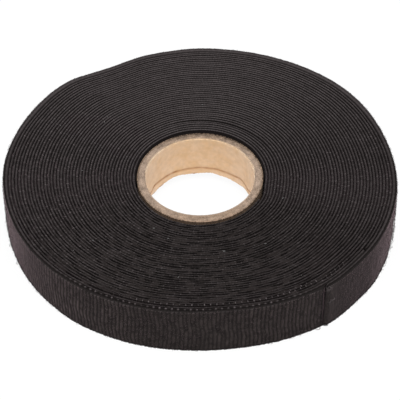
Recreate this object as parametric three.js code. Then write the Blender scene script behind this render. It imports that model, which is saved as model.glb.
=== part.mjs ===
// Hook and loop tape roll
//
// One strip of black woven hook and loop tape, wound flat on a short paperboard core. The roll lies on its side face,
// so its axis is Z and the strip's lower edge is at height 0. All sizes are in millimetres.

import * as THREE from 'three';

// Sizes of the paperboard core. The bore takes a 38 mm spindle.
const CORE_BORE_DIAMETER = 38.8;
const CORE_SHORTFALL = 2.6; // how much shorter than the tape's width the core is cut
const CORE_PROUD = 0.4; // how far the core stands above the tape's upper edge
const LINER_THICKNESS = 0.5;
const BOARD_THICKNESS = 2.2;
const WRAP_THICKNESS = 0.4;
const RIM_ROUND = 0.3; // radius on the rim's corners, rubbed down by the slitting knife
const SCORE_HEIGHT = 2.9; // a knife mark round the bore, above the core's lower edge
const SCORE_WIDTH = 0.4;
const SCORE_DEPTH = 0.2;

// Sizes of the tape and of its winding
const TAPE_WIDTH = 20;
const ROLL_RADIUS = 68.45; // mean radius over the outer turn
const ROLL_SHIFT = 3.2; // how far the outer turn's middle lies behind the core's, as the turns are tighter in front
const TURN_GAP = 0.6; // clear space between one turn and the next
const WHOLE_TURNS = 23; // fewer and thicker than the 41 turns of the real strip

// Clear space between the core and the first turn. They all but touch in front, and a crescent is open behind.
const CORE_FRONT_GAP = 0.4;
const CORE_SIDE_GAP = 0.55;
const CORE_BACK_GAP = 2.1;

// Where the strip starts on the core and where it ends on the outside, in degrees from +X
const START_ANGLE = 332;
const END_ANGLE = 307;
const START_RAMP_SHARE = 0.75; // the part of the first turn that lies on the core before it climbs over the start

// How far the outer turn is out of round: an oval, and then the dents and swells where the roll was pressed
const OVAL_HEIGHT = 2;
const OVAL_ANGLE = -0.5;
const BACK_DENT_DEPTH = 2;
const BACK_FLAT_DEPTH = 0.85;
const BACK_SHOULDER_HEIGHT = 0.45;
const FRONT_LEFT_SWELL = 1.4;
const FRONT_RIGHT_SWELL = 2.25;
const LAST_SWELL = 0.55; // over the strip's end
const RIGHT_FLAT_DEPTH = 1.2;
const DENTS_AND_SWELLS = [
  { height: -BACK_DENT_DEPTH, angle: 121.5, halfWidth: 15.5 },
  { height: -BACK_FLAT_DEPTH, angle: 107, halfWidth: 18 },
  { height: BACK_SHOULDER_HEIGHT, angle: 139.5, halfWidth: 15.5 },
  { height: FRONT_LEFT_SWELL, angle: 245.5, halfWidth: 56 },
  { height: FRONT_RIGHT_SWELL, angle: 303, halfWidth: 33.5 },
  { height: LAST_SWELL, angle: 330.5, halfWidth: 14.5 },
  { height: -RIGHT_FLAT_DEPTH, angle: 11.5, halfWidth: 33 },
];
const OUT_OF_ROUND_POWER = 1.5; // how fast the turns take up the outer shape, from the core outwards

// Fineness of the curves
const STEPS_PER_TURN = 45;
const CORE_SEGMENTS = 96;
const CORNER_DIVISIONS = 2;

// Angles
const FULL_TURN = 360;
const HALF_TURN = 180;
const QUARTER = Math.PI / 2;
const radians = THREE.MathUtils.degToRad;

// The core's radii and heights, each ply on the one inside it
const LINER_RADIUS = CORE_BORE_DIAMETER / 2;
const BOARD_RADIUS = LINER_RADIUS + LINER_THICKNESS;
const WRAP_RADIUS = BOARD_RADIUS + BOARD_THICKNESS;
const CORE_RADIUS = WRAP_RADIUS + WRAP_THICKNESS;
const CORE_LENGTH = TAPE_WIDTH - CORE_SHORTFALL;
const CORE_TOP = TAPE_WIDTH + CORE_PROUD;
const CORE_BOTTOM = CORE_TOP - CORE_LENGTH;

// The pitch from turn to turn. The outer turn reaches its mean radius half a turn before the strip's end.
const FRONT_TO_BACK_GAP = (CORE_FRONT_GAP + CORE_BACK_GAP) / 2;
const MEAN_CORE_GAP = (FRONT_TO_BACK_GAP + CORE_SIDE_GAP) / 2;
const TURNS = WHOLE_TURNS + (START_ANGLE - END_ANGLE) / FULL_TURN;
const TURNS_TO_MEAN_RADIUS = TURNS - 1 / 2;
const TURN_PITCH = (ROLL_RADIUS + TURN_GAP - CORE_RADIUS - MEAN_CORE_GAP) / (TURNS_TO_MEAN_RADIUS + 1);
const TAPE_THICKNESS = TURN_PITCH - TURN_GAP;

// The core: three glued plies, each a ring turned about the roll's axis
// A ring is drawn as a path round its own half section, which closes on itself.
function ring(path) {
  const geometry = new THREE.LatheGeometry(path.getPoints(CORNER_DIVISIONS), CORE_SEGMENTS);
  geometry.rotateX(QUARTER);
  return geometry;
}

// The kraft ply that lines the bore, with its rubbed corners and the knife mark
function linerGeometry() {
  const scoreMiddle = CORE_BOTTOM + SCORE_HEIGHT;
  const cornerRadius = LINER_RADIUS + RIM_ROUND;
  const path = new THREE.Path();
  path.moveTo(cornerRadius, CORE_BOTTOM);
  path.lineTo(BOARD_RADIUS, CORE_BOTTOM);
  path.lineTo(BOARD_RADIUS, CORE_TOP);
  path.lineTo(cornerRadius, CORE_TOP);
  path.absarc(cornerRadius, CORE_TOP - RIM_ROUND, RIM_ROUND, QUARTER, Math.PI, false);
  path.lineTo(LINER_RADIUS, scoreMiddle + SCORE_WIDTH / 2);
  path.lineTo(LINER_RADIUS + SCORE_DEPTH, scoreMiddle);
  path.lineTo(LINER_RADIUS, scoreMiddle - SCORE_WIDTH / 2);
  path.lineTo(LINER_RADIUS, CORE_BOTTOM + RIM_ROUND);
  path.absarc(cornerRadius, CORE_BOTTOM + RIM_ROUND, RIM_ROUND, Math.PI, -QUARTER, false);
  return ring(path);
}

// The grey board plies that make the wall
function boardGeometry() {
  const path = new THREE.Path();
  path.moveTo(BOARD_RADIUS, CORE_BOTTOM);
  path.lineTo(WRAP_RADIUS, CORE_BOTTOM);
  path.lineTo(WRAP_RADIUS, CORE_TOP);
  path.lineTo(BOARD_RADIUS, CORE_TOP);
  path.lineTo(BOARD_RADIUS, CORE_BOTTOM);
  return ring(path);
}

// The outer ply, rubbed round at both of its corners
function wrapGeometry() {
  const cornerRadius = CORE_RADIUS - RIM_ROUND;
  const path = new THREE.Path();
  path.moveTo(WRAP_RADIUS, CORE_BOTTOM);
  path.lineTo(cornerRadius, CORE_BOTTOM);
  path.absarc(cornerRadius, CORE_BOTTOM + RIM_ROUND, RIM_ROUND, -QUARTER, 0, false);
  path.lineTo(CORE_RADIUS, CORE_TOP - RIM_ROUND);
  path.absarc(cornerRadius, CORE_TOP - RIM_ROUND, RIM_ROUND, 0, QUARTER, false);
  path.lineTo(WRAP_RADIUS, CORE_TOP);
  path.lineTo(WRAP_RADIUS, CORE_BOTTOM);
  return ring(path);
}

// The winding: one strip in a flat spiral that turns clockwise outwards, seen from above
// Gap round the core at an angle: its front, side and back values joined by a smooth oval
function coreGap(angle) {
  const frontToBack = (CORE_BACK_GAP - CORE_FRONT_GAP) / 2;
  const acrossToSides = CORE_SIDE_GAP - MEAN_CORE_GAP;
  return MEAN_CORE_GAP + frontToBack * Math.sin(angle) + acrossToSides * Math.cos(2 * angle);
}

// Height of one dent or swell at an angle, falling smoothly to nothing at its half width
function bump(shape, degrees) {
  const offset = THREE.MathUtils.euclideanModulo(degrees - shape.angle + HALF_TURN, FULL_TURN) - HALF_TURN;
  if (Math.abs(offset) >= shape.halfWidth) return 0;
  return (shape.height * (1 + Math.cos((Math.PI * offset) / shape.halfWidth))) / 2;
}

// How far the outer turn stands out from its mean radius at an angle
function outOfRound(degrees) {
  let height = OVAL_HEIGHT * Math.cos(2 * radians(degrees - OVAL_ANGLE));
  for (const shape of DENTS_AND_SWELLS) height += bump(shape, degrees);
  return height;
}

// Turns climbed at a place on the strip, counted in turns from its start. Near the core the climb is at the end of
// each turn, where the strip steps over its own start. Further out it is even.
function climb(turns) {
  const done = Math.floor(turns);
  const part = turns - done;
  const step = THREE.MathUtils.smoothstep(part, START_RAMP_SHARE, 1);
  return done + THREE.MathUtils.lerp(step, part, turns / TURNS);
}

// Inner and outer face of the strip at a place on it, as points in the plane of the roll
function facesAt(turns) {
  const share = turns / TURNS;
  const degrees = START_ANGLE - FULL_TURN * turns;
  const angle = radians(degrees);
  const gap = THREE.MathUtils.lerp(coreGap(angle), MEAN_CORE_GAP, share);
  const shape = outOfRound(degrees) * share ** OUT_OF_ROUND_POWER;
  const inner = CORE_RADIUS + gap + TURN_PITCH * climb(turns) + shape;
  const outer = inner + TAPE_THICKNESS;
  const shift = ROLL_SHIFT * share;
  return {
    inner: new THREE.Vector2(inner * Math.cos(angle), shift + inner * Math.sin(angle)),
    outer: new THREE.Vector2(outer * Math.cos(angle), shift + outer * Math.sin(angle)),
  };
}

const stripSteps = Math.round(TURNS * STEPS_PER_TURN);
const strip = [];
for (let step = 0; step <= stripSteps; step += 1) strip.push(facesAt((step * TURNS) / stripSteps));

function windingGeometry() {
  const outline = strip.map((place) => place.outer);
  const wayBack = strip.map((place) => place.inner).reverse();
  const shape = new THREE.Shape([...outline, ...wayBack]);
  return new THREE.ExtrudeGeometry(shape, { depth: TAPE_WIDTH, bevelEnabled: false, curveSegments: 1 });
}

// Least gap from the strip to itself: each point of its outer face to the nearest stretches of the turn outside it
function leastGap() {
  const stepsEachWay = 3;
  const nearest = new THREE.Vector3();
  const flat = (point) => new THREE.Vector3(point.x, point.y, 0);
  let least = Infinity;
  for (let step = 0; step <= stripSteps; step += 1) {
    const point = flat(strip[step].outer);
    const oneTurnOn = step + STEPS_PER_TURN;
    const last = Math.min(oneTurnOn + stepsEachWay, stripSteps);
    for (let other = oneTurnOn - stepsEachWay; other < last; other += 1) {
      const stretch = new THREE.Line3(flat(strip[other].inner), flat(strip[other + 1].inner));
      stretch.closestPointToPoint(point, true, nearest);
      least = Math.min(least, point.distanceTo(nearest));
    }
  }
  return least;
}

console.log('least gap from the winding to itself, in mm:', leastGap());

// Finishes
const wovenBlack = new THREE.MeshStandardMaterial({ color: 0x37322f, roughness: 0.92, metalness: 0 });
const kraftTan = new THREE.MeshStandardMaterial({ color: 0xd7b18c, roughness: 0.85, metalness: 0 });
const boardGrey = new THREE.MeshStandardMaterial({ color: 0x94826f, roughness: 0.95, metalness: 0 });
const wrapTan = new THREE.MeshStandardMaterial({ color: 0xa9927e, roughness: 0.9, metalness: 0 });

function piece(name, geometry, material) {
  const mesh = new THREE.Mesh(geometry, material);
  mesh.name = name;
  return mesh;
}

// The roll, placed with the middle of its outline on the origin
const winding = piece('tape_winding', windingGeometry(), wovenBlack);
const roll = new THREE.Group();
roll.add(winding);
roll.add(piece('core_liner', linerGeometry(), kraftTan));
roll.add(piece('core_board', boardGeometry(), boardGrey));
roll.add(piece('core_wrap', wrapGeometry(), wrapTan));

const outlineMiddle = new THREE.Box3().setFromObject(winding).getCenter(new THREE.Vector3());
roll.position.set(-outlineMiddle.x, -outlineMiddle.y, 0);

export default roll;
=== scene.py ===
import math

import bmesh
import bpy
import numpy as np
from mathutils import Matrix, Vector


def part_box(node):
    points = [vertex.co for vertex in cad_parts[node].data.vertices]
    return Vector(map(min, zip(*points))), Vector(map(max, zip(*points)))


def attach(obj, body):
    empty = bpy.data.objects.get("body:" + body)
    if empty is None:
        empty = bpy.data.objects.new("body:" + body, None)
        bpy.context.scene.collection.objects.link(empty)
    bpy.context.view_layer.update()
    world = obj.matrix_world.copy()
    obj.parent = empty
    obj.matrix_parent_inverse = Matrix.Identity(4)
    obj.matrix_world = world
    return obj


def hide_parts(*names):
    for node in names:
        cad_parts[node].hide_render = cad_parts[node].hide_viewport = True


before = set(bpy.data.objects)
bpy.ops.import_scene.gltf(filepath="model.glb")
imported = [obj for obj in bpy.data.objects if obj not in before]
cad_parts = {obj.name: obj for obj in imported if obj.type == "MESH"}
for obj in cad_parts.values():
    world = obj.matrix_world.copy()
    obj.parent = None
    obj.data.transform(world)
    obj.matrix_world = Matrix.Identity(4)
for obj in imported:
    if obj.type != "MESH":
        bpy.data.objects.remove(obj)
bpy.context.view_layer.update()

scene = bpy.context.scene
MM = 0.001


# The view
# The camera looks down on the roll at 45 degrees from in front, through a long lens, as for a catalogue
# picture. Its place was fitted to the core's rims and the roll's outline. Pixels are those of a 400 by 400
# frame.
FRAME_WIDTH = 400
FOCAL_LENGTH = 1986.0
SENSOR_WIDTH = 36.0
LOOK_DOWN = math.radians(45.45)
LEAN = math.radians(0.49)
STAND_OFF = 724.5 * MM
RAISED = 3.69 * MM
ASIDE = -0.09 * MM

# How far the middle of the roll's outline lies behind the core's axis
ROLL_SHIFT = 3.2 * MM
roll_low, roll_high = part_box("tape_winding")
core_low, core_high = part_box("core_wrap")
core_middle = (core_low + core_high) / 2
floor_point = Vector((core_middle.x, core_middle.y + ROLL_SHIFT, 0))

right = Vector((1, 0, 0))
ahead = Vector((0, math.cos(LOOK_DOWN), -math.sin(LOOK_DOWN)))
above = right.cross(ahead)
leaning_right = math.cos(LEAN) * right - math.sin(LEAN) * above
leaning_up = math.sin(LEAN) * right + math.cos(LEAN) * above

camera_data = bpy.data.cameras.new("camera")
camera_data.sensor_width = SENSOR_WIDTH
camera_data.lens = FOCAL_LENGTH / FRAME_WIDTH * SENSOR_WIDTH
camera_data.clip_start = 10 * MM
camera_data.clip_end = 10
camera = bpy.data.objects.new("camera", camera_data)
scene.collection.objects.link(camera)
place = floor_point + ASIDE * right + RAISED * above - STAND_OFF * ahead
turn = Matrix((leaning_right, leaning_up, -ahead)).transposed()
camera.matrix_world = Matrix.Translation(place) @ turn.to_4x4()
scene.camera = camera
scene.view_settings.view_transform = "Standard"


# Floor and light
# A white sheet under a light tent. The camera sees the sheet and the tent as white, and the sheet keeps a
# part of the roll's soft shadow. The lamp and the tent light the roll at a plain level.
FLOOR_REACH = 3.0
TENT_LEVEL = 0.5
LAMP_SIZE = 0.9
LAMP_HEIGHT = 1.15
LAMP_FRONT = 0.25
LAMP_WATTS = 17.0
SHADOW_KEPT_SHARE = 0.06
WHITE = (1, 1, 1, 1)


def linear(hex_colour):
    """Linear colour of an sRGB hex value"""
    channels = [int(hex_colour[i:i + 2], 16) / 255 for i in (1, 3, 5)]
    return tuple(c / 12.92 if c <= 0.04045 else ((c + 0.055) / 1.055) ** 2.4 for c in channels) + (1.0,)


def add_node(tree, kind, settings=None, links=None, **values):
    """Adds a node. settings are its own properties, values its inputs by name, links its inputs' sources"""
    node = tree.nodes.new(kind)
    for name, value in (settings or {}).items():
        setattr(node, name, value)
    for name, value in values.items():
        node.inputs[name.replace("_", " ")].default_value = value
    for name, source in (links or {}).items():
        tree.links.new(source, node.inputs[name])
    return node


def blank_material(name):
    """A new material and its node tree, still empty"""
    material = bpy.data.materials.new(name)
    material.use_nodes = True
    material.node_tree.nodes.clear()
    return material, material.node_tree


def seen_straight(tree):
    """1 for what the camera sees, straight or in a gloss, and 0 for light on its way"""
    ray = add_node(tree, "ShaderNodeLightPath")
    gloss = add_node(tree, "ShaderNodeMath", {"operation": "MAXIMUM"},
                     {0: ray.outputs["Is Camera Ray"], 1: ray.outputs["Is Glossy Ray"]})
    clear = add_node(tree, "ShaderNodeMath", {"operation": "MAXIMUM"},
                     {0: gloss.outputs[0], 1: ray.outputs["Is Transmission Ray"]})
    return clear.outputs[0]


tent = bpy.data.worlds.new("light_tent")
tent.use_nodes = True
tent.node_tree.nodes.clear()
tent_strength = add_node(tent.node_tree, "ShaderNodeMapRange", None, {"Value": seen_straight(tent.node_tree)},
                         To_Min=TENT_LEVEL, To_Max=1.0)
tent_light = add_node(tent.node_tree, "ShaderNodeBackground", None, {"Strength": tent_strength.outputs[0]},
                      Color=WHITE)
add_node(tent.node_tree, "ShaderNodeOutputWorld", None, {"Surface": tent_light.outputs[0]})
scene.world = tent

lamp_data = bpy.data.lights.new("lamp", "AREA")
lamp_data.size = LAMP_SIZE
lamp_data.energy = LAMP_WATTS
lamp = bpy.data.objects.new("lamp", lamp_data)
scene.collection.objects.link(lamp)
lamp.location = (0, -LAMP_FRONT, LAMP_HEIGHT)
lamp.rotation_euler = (math.atan2(LAMP_FRONT, LAMP_HEIGHT), 0, 0)

floor_mesh = bpy.data.meshes.new("floor")
floor_form = bmesh.new()
bmesh.ops.create_grid(floor_form, x_segments=1, y_segments=1, size=FLOOR_REACH)
floor_form.to_mesh(floor_mesh)
floor_form.free()
floor = bpy.data.objects.new("floor", floor_mesh)
scene.collection.objects.link(floor)
white_sheet, sheet_tree = blank_material("white_sheet")
lit_sheet = add_node(sheet_tree, "ShaderNodeBsdfDiffuse", Color=linear("#f4f4f4"))
white_seen = add_node(sheet_tree, "ShaderNodeEmission", Color=WHITE, Strength=1.0)
seen_share = add_node(sheet_tree, "ShaderNodeMapRange", None, {"Value": seen_straight(sheet_tree)},
                      To_Max=1 - SHADOW_KEPT_SHARE)
sheet_mix = add_node(sheet_tree, "ShaderNodeMixShader", None, {
    0: seen_share.outputs[0], 1: lit_sheet.outputs[0], 2: white_seen.outputs[0]})
add_node(sheet_tree, "ShaderNodeOutputMaterial", None, {"Surface": sheet_mix.outputs[0]})
floor_mesh.materials.append(white_sheet)


# The way the strip winds
# One strip, wound clockwise outwards on a loose core by machine, and pressed a little out of round in its
# box. Each turn lies on the one inside it, so the strip's outer face is its inner face one turn further on.
# Angles round the roll are in degrees: 0 is at the right, 90 at the back and 270 in front.
BACK = 90
FRONT = 270
TURNS = 41 + 25 / 360
START_ANGLE = 332
# The first turns are level until this share of them, and then climb over the strip's start
START_RAMP_SHARE = 0.94
ROLL_RADIUS = 68.45 * MM
LOOSE_PILE = 0.6 * MM
CORE_FRONT_GAP = 0.4 * MM
CORE_SIDE_GAP = 0.55 * MM
CORE_BACK_GAP = 2.1 * MM
OVAL_HEIGHT = 2.0 * MM
OVAL_ANGLE = -0.5
# Height, angle and half width of each, as they are on the outer turn. They fade towards the core
DENTS_AND_SWELLS = [
    (-2.0 * MM, 121.5, 15.5), (-0.85 * MM, 107, 18), (0.45 * MM, 139.5, 15.5), (1.4 * MM, 245.5, 56),
    (2.25 * MM, 303, 33.5), (0.55 * MM, 330.5, 14.5), (-1.2 * MM, 11.5, 33),
]
OUT_OF_ROUND_POWER = 1.5

CORE_RADIUS = (core_high.x - core_low.x) / 2
MEAN_CORE_GAP = ((CORE_FRONT_GAP + CORE_BACK_GAP) / 2 + CORE_SIDE_GAP) / 2
TURN_PITCH = (ROLL_RADIUS - LOOSE_PILE - CORE_RADIUS - MEAN_CORE_GAP) / (TURNS + 1 / 2)


def unit(value):
    """The value, kept between 0 and 1"""
    return np.clip(value, 0, 1)


def eased(share):
    """A share that starts and ends its way from 0 to 1 gently"""
    return share * share * (3 - 2 * share)


def bump(degrees, height, angle, half_width):
    """Height of one dent or swell, falling smoothly to nothing at its half width"""
    offset = (degrees - angle + 180) % 360 - 180
    wave = height * (1 + np.cos(np.pi * offset / half_width)) / 2
    return np.where(np.abs(offset) < half_width, wave, 0)


def bumps(degrees, waves):
    """Height of all dents and swells together"""
    return sum(bump(degrees, *wave) for wave in waves)


def inner_face(turns):
    """Places in plan of the strip's inner face, as an array of x and y, at turns from the strip's start"""
    share = turns / TURNS
    degrees = START_ANGLE - 360 * turns
    angle = np.radians(degrees)
    gap = MEAN_CORE_GAP + (CORE_BACK_GAP - CORE_FRONT_GAP) / 2 * np.sin(angle)
    gap += (CORE_SIDE_GAP - MEAN_CORE_GAP) * np.cos(2 * angle)
    gap += (MEAN_CORE_GAP - gap) * share
    part = turns % 1
    step = eased(unit((part - START_RAMP_SHARE) / (1 - START_RAMP_SHARE)))
    climbed = np.floor(turns) + step + (part - step) * share
    shape = OVAL_HEIGHT * np.cos(2 * np.radians(degrees - OVAL_ANGLE)) + bumps(degrees, DENTS_AND_SWELLS)
    radius = CORE_RADIUS + gap + TURN_PITCH * climbed + shape * share ** OUT_OF_ROUND_POWER
    return np.stack([core_middle.x + radius * np.cos(angle),
                     core_middle.y + ROLL_SHIFT * share + radius * np.sin(angle)], -1)


# Length along the strip, at the middle of its thickness
PLACES_PER_TURN = 720
turns_table = np.linspace(0, TURNS, int(TURNS * PLACES_PER_TURN) + 1)
middle_table = (inner_face(turns_table) + inner_face(turns_table + 1)) / 2
stretches = np.linalg.norm(np.diff(middle_table, axis=0), axis=1)
length_table = np.concatenate([[0], np.cumsum(stretches)])
STRIP_LENGTH = length_table[-1]


def turns_at(lengths):
    """Turns from the strip's start, at lengths along it"""
    return np.interp(lengths, length_table, turns_table)


def length_at(turns):
    """Length along the strip, at turns from its start"""
    return np.interp(turns, turns_table, length_table)


def on_strip(lengths, across):
    """Places in plan at lengths along the strip and shares of its thickness out from its inner face"""
    turns = turns_at(lengths)
    face_in = inner_face(turns)
    return face_in + (inner_face(turns + 1) - face_in) * across[:, None]


def share_near(lengths, angle, half_width, fade):
    """1 within half a width of an angle round the roll, falling to 0 over the fade, all in degrees"""
    degrees = START_ANGLE - 360 * turns_at(lengths)
    offset = np.abs((degrees - angle + 180) % 360 - 180)
    return unit(1 + (half_width - offset) / fade)


def wander(length, wavelength, seed):
    """A smooth random wave along the strip, between -1 and 1"""
    knots = np.random.default_rng(seed).uniform(-1, 1, int(STRIP_LENGTH / wavelength) + 3)
    place = length / wavelength
    low = np.floor(place).astype(int)
    return knots[low] + (knots[low + 1] - knots[low]) * eased(place - low)


# The inner turns of the tape
# Black woven nylon, 20 mm wide, with hooks on its inner face and loops on its outer one. The pile stops
# short of both edges, so the selvedges stand up as thin lines with dark gaps between. The hooked side
# slopes up to its selvedge, the looped side drops straight, and weft threads turn round the edge.
TAPE_WIDTH = roll_high.z - roll_low.z
# Sections of the strip stand at these shares of the way from one weft thread to the next
WEFT_SPACING = 2.1 * MM
WEFT_PHASES = (0, 0.16, 0.5, 0.84)
LOOP_DEPTH = 1.3 * MM
HOOK_DEPTH = 1.1 * MM
FACE_SHARE = 0.02
EDGE_DROP = 0.15 * MM
EDGE_WANDER = 0.12 * MM
EDGE_RUFFLE = 0.07 * MM
LOWER_EDGE = 0.1 * MM
LOWER_EDGE_WANDER = 0.06 * MM
WEFT_BUMP = 0.1 * MM
# Middle and width of the selvedge, as shares of the strip's thickness, and how far its corners are rounded
SELVEDGE_MIDDLE = 0.52
SELVEDGE_SHARE = 0.56
SELVEDGE_ROUND = 0.22 * MM
# Turn, angle and half width of the gaps that gape, and the share of the pitch
OPEN_GAPS = [(4, 70, 62, 0.26), (9, 288, 46, 0.22), (5, 285, 40, 0.14), (12, 262, 50, 0.12),
             (19, 276, 44, 0.14), (31, 265, 50, 0.12), (33, 270, 60, 0.12), (38, 268, 62, 0.24)]
GAPE_DROP = 0.5 * MM


def strip_edges(lengths, phases):
    """Heights of the strip's edges, middle and width of its selvedge, and how far a weft thread bulges it"""
    calm = 1 - 0.75 * share_near(lengths, BACK, 25, 60)
    even = 1 - 0.55 * share_near(lengths, BACK, 50, 60)
    ruffled = calm * (1 + 0.8 * share_near(lengths, FRONT, 30, 50))
    top = TAPE_WIDTH - EDGE_DROP + EDGE_RUFFLE * ruffled * wander(lengths, 2.6 * MM, 15)
    top = top + EDGE_WANDER * (0.7 * even * wander(lengths, 170 * MM, 1) + 0.3 * wander(lengths, 9 * MM, 2))
    bottom = LOWER_EDGE + LOWER_EDGE_WANDER * wander(lengths, 90 * MM, 3)
    middle = SELVEDGE_MIDDLE + 0.05 * even * wander(lengths, 130 * MM, 4)
    middle = middle + 0.04 * ruffled * wander(lengths, 3 * MM, 5)
    slimmed = 0.09 * (1 - share_near(lengths, FRONT, 40, 60)) + 0.03 * share_near(lengths, BACK, 35, 50)
    width = SELVEDGE_SHARE - slimmed + 0.06 * even * wander(lengths, 110 * MM, 6)
    width = width + 0.06 * ruffled * wander(lengths, 2.3 * MM, 7)
    turns = turns_at(lengths)
    for turn, angle, half_width, share in OPEN_GAPS:
        gape = bump(START_ANGLE - 360 * turns, share, angle, half_width) * (np.floor(turns) == turn)
        middle = middle - gape / 2
        width = width - gape
        top = top - GAPE_DROP * gape
    bulge = np.random.default_rng(8).uniform(0.2, 1, len(lengths)) ** 1.5 * (phases == 0) * calm
    return top + WEFT_BUMP * bulge, bottom, middle, width + 0.2 * bulge, bulge


def strip_section(top, bottom, middle, width, loop_depth):
    """Points round the strip's section: share of the way from inner to outer face, and height. They go up the
    hooked side, over the selvedge, down the looped side and back under the lower selvedge"""
    inner = np.full_like(top, FACE_SHARE)
    outer = 1 - inner
    near = middle - width / 2
    far = middle + width / 2
    crown_in = middle - 0.05 * width
    crown_out = middle + 0.4 * width
    slope = 0.2 * inner + 0.8 * near
    undercut = middle + 0.1 * width
    points = [
        (inner, bottom + HOOK_DEPTH), (inner, top - HOOK_DEPTH), (slope, top - 0.8 * HOOK_DEPTH),
        (near, top - 1.4 * SELVEDGE_ROUND), (near, top - 1.1 * SELVEDGE_ROUND), (crown_in, top),
        (crown_out, top - 0.25 * SELVEDGE_ROUND), (far, top - 0.9 * SELVEDGE_ROUND),
        (undercut, top - 0.7 * loop_depth), (outer, top - loop_depth),
        (outer, bottom + LOOP_DEPTH), (undercut, bottom + 0.7 * LOOP_DEPTH), (far, bottom + SELVEDGE_ROUND),
        (crown_out, bottom), (crown_in, bottom), (near, bottom + 2 * SELVEDGE_ROUND),
        (slope, bottom + 0.75 * HOOK_DEPTH),
    ]
    across, heights = zip(*points)
    return np.stack(across, -1), np.stack(heights, -1)


def section_grid(name, count, points):
    """A flat mesh for a form of so many sections of so many points, and each vertex's section and point"""
    flat = bmesh.new()
    flat.loops.layers.uv.verify()
    bmesh.ops.create_grid(flat, x_segments=count - 1, y_segments=points, size=0.5, calc_uvs=True)
    mesh = bpy.data.meshes.new(name)
    flat.to_mesh(mesh)
    flat.free()
    places = np.empty(len(mesh.vertices) * 3, np.float32)
    mesh.vertices.foreach_get("co", places)
    places = places.reshape(-1, 3)
    along = np.rint((places[:, 0] + 0.5) * (count - 1)).astype(int)
    return mesh, along, np.rint((places[:, 1] + 0.5) * points).astype(int) % points


# Points closer than this are joined
WELD_DISTANCE = 0.0001 * MM


def closed_piece(mesh, places, light_name, light):
    """A piece made of the mesh: vertices put in place and given a light, seams joined and ends closed"""
    mesh.vertices.foreach_set("co", places.astype(np.float32).ravel())
    attribute = mesh.attributes.new(light_name, "FLOAT", "POINT")
    attribute.data.foreach_set("value", light.astype(np.float32))
    form = bmesh.new()
    form.from_mesh(mesh)
    bmesh.ops.remove_doubles(form, verts=form.verts, dist=WELD_DISTANCE)
    bmesh.ops.holes_fill(form, edges=[edge for edge in form.edges if edge.is_boundary], sides=0)
    bmesh.ops.recalc_face_normals(form, faces=form.faces)
    for face in form.faces:
        face.smooth = True
    form.to_mesh(mesh)
    form.free()
    piece = bpy.data.objects.new(mesh.name, mesh)
    scene.collection.objects.link(piece)
    return piece


def put_on_roll(piece, *materials):
    """Gives a piece of the tape its materials and its place in the assembly"""
    for material in materials:
        piece.data.materials.append(material)
    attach(piece, "roll")
    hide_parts("tape_winding")


def nylon(name, dark, pale, **finish):
    """Nylon thread between two colours by the attribute thread_light. finish holds its roughness and sheen"""
    material, tree = blank_material(name)
    thread = add_node(tree, "ShaderNodeBsdfPrincipled", Specular_IOR_Level=0.12, **finish)
    light = add_node(tree, "ShaderNodeAttribute", {"attribute_name": "thread_light"})
    colour = add_node(tree, "ShaderNodeMix", {"data_type": "RGBA"}, {"Factor": light.outputs["Fac"]},
                      A=linear(dark), B=linear(pale))
    tree.links.new(colour.outputs["Result"], thread.inputs["Base Color"])
    add_node(tree, "ShaderNodeOutputMaterial", None, {"Surface": thread.outputs[0]})
    return material


# Woven nylon is dull, with the threads on the selvedge a little worn. The loops are finer threads, whose
# fuzz takes on a purple-grey sheen at a glancing view. The colours of both also carry painted light and
# shade, set by thread_light
woven_nylon = nylon("woven_black_nylon", "#14100f", "#82797a", Roughness=0.8, Sheen_Weight=0.04,
                    Sheen_Roughness=0.4, Sheen_Tint=linear("#d8c0c8"))
loop_pile = nylon("black_loop_pile", "#0d0a09", "#625856", Roughness=0.9, Sheen_Weight=0.45,
                  Sheen_Roughness=0.3, Sheen_Tint=linear("#dcbec6"))


# How far back from the tape's end its lean and its loops' change of colour reach
END_REACH = 3 * MM


def wind(name, lengths, across, heights, brightness, pile_rows, held_back=0):
    """A stretch of the strip: its sections wound into place. The pile's rows take the second material, and
    the end leans back by held_back at its upper edge"""
    mesh, along, row = section_grid(name, *across.shape)
    # The cloth's own map, in metres along the strip and round its section
    uvs = np.empty(len(mesh.loops) * 2, np.float32)
    mesh.uv_layers.active.data.foreach_get("uv", uvs)
    uvs = uvs.reshape(-1, 2) * [lengths[-1] - lengths[0], TAPE_WIDTH * 2] + [lengths[0], 0]
    mesh.uv_layers.active.data.foreach_set("uv", uvs.astype(np.float32).ravel())
    corners = np.empty(len(mesh.loops), np.int32)
    mesh.loops.foreach_get("vertex_index", corners)
    face_row = np.median(np.sort(row[corners].reshape(-1, 4), axis=1)[:, 1:3], axis=1)
    is_pile = (face_row >= pile_rows[0]) & (face_row < pile_rows[1])
    mesh.polygons.foreach_set("material_index", is_pile.astype(np.int32))
    height = heights[along, row]
    oblique = held_back * np.exp((lengths[along] - STRIP_LENGTH) / END_REACH) * height / TAPE_WIDTH
    places = np.column_stack([on_strip(lengths[along] - oblique, across[along, row]), height])
    put_on_roll(closed_piece(mesh, places, "thread_light", brightness[along, row]), woven_nylon, loop_pile)


# The last piece of the strip is a little over a turn, so that it starts under the tape's end
OUTER_TURNS = 1.05
OUTER_TURN_START = length_at(TURNS - OUTER_TURNS)
weft_count = int(OUTER_TURN_START / WEFT_SPACING)
phases = np.tile(WEFT_PHASES, weft_count)
lengths = (np.repeat(np.arange(weft_count), len(WEFT_PHASES)) + phases) * WEFT_SPACING
top, bottom, middle, width, bulge = strip_edges(lengths, phases)

# Loops fill the gaps here and there, mostly in front, where the lines look broken
NARROW_SELVEDGE = 0.42
broken = share_near(lengths, 255, 50, 55)
filled = np.clip(0.1 + 0.5 * broken + 1.1 * wander(lengths, 2.4 * MM, 17), 0, 0.85)
filled = filled * (0.15 + 0.85 * broken) * (width > NARROW_SELVEDGE)
across, heights = strip_section(top, bottom, middle, width, LOOP_DEPTH * (1 - filled))
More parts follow.
